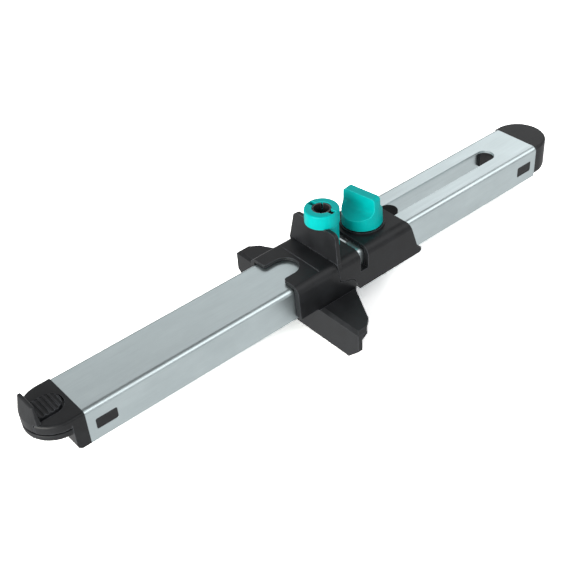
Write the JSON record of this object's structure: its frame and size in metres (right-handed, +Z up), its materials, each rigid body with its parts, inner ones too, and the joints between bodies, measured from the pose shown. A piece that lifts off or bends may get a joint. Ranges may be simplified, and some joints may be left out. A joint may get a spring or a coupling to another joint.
{
  "type": "laminate scriber",
  "caption": "slotted channel bar with a sliding fence that carries a pencil holder, ring and clamp knob, and a finger slide at the nose, for scribing lines parallel to an edge or wall",
  "frame": {"origin": "middle of the tool's length and width, at the height of the fence's foot", "axes": "+X along the rail from the finger slide to the plain end, +Y across the rail, +Z up, out of the slotted face"},
  "size_m": [0.3282, 0.0912, 0.0573],
  "materials": {
    "rail_steel": "bright zinc-plated steel sheet, fine lengthwise rolling marks",
    "black_plastic": "black moulded plastic, fine spark-eroded texture",
    "glide_plastic": "smooth black low-friction plastic",
    "teal_plastic": "teal moulded plastic, satin gloss",
    "screw_steel": "plain zinc-plated steel",
    "insert_brass": "turned brass",
    "friction_rubber": "black rubber"
  },
  "bodies": {
    "bar": {"rail": "rail_steel", "nose_cap": "black_plastic", "nose_shoe": "black_plastic", "nose_screw_near": "screw_steel", "nose_screw_far": "screw_steel", "tail_cap": "black_plastic"},
    "tip": {"finger_slide": "black_plastic"},
    "carriage": {"fence": "black_plastic", "slider_body": "black_plastic", "slot_guide": "glide_plastic", "guide_screw_nose": "screw_steel", "guide_screw_tail": "screw_steel", "pencil_sleeve": "teal_plastic", "pencil_collet": "glide_plastic", "knob_washer": "screw_steel"},
    "ring": {"clamp_ring": "teal_plastic"},
    "knob": {"clamp_knob": "teal_plastic", "knob_insert": "insert_brass"},
    "clamp": {"clamp_bolt": "screw_steel", "clamp_plate": "screw_steel", "clamp_pad": "friction_rubber"}
  },
  "joints": [
    {"name": "carriage_slide", "type": "slide", "parent": "bar", "child": "carriage", "axis": [1, 0, 0], "range_m": [-0.013, 0.073]},
    {"name": "tip_slide", "type": "slide", "parent": "bar", "child": "tip", "axis": [-1, 0, 0], "range_m": [0, 0.008]},
    {"name": "knob_turn", "type": "hinge", "parent": "carriage", "child": "knob", "pos_m": [0.0293, 0, 0.0433], "axis": [0, 0, 1], "range_deg": [0, 180]},
    {"name": "clamp_drop", "type": "slide", "parent": "carriage", "child": "clamp", "axis": [0, 0, -1], "range_m": [0, 0.0005]},
    {"name": "ring_turn", "type": "hinge", "parent": "carriage", "child": "ring", "pos_m": [0.0031, 0, 0.0533], "axis": [0, 0, 1], "range_deg": [0, 90]}
  ]
}
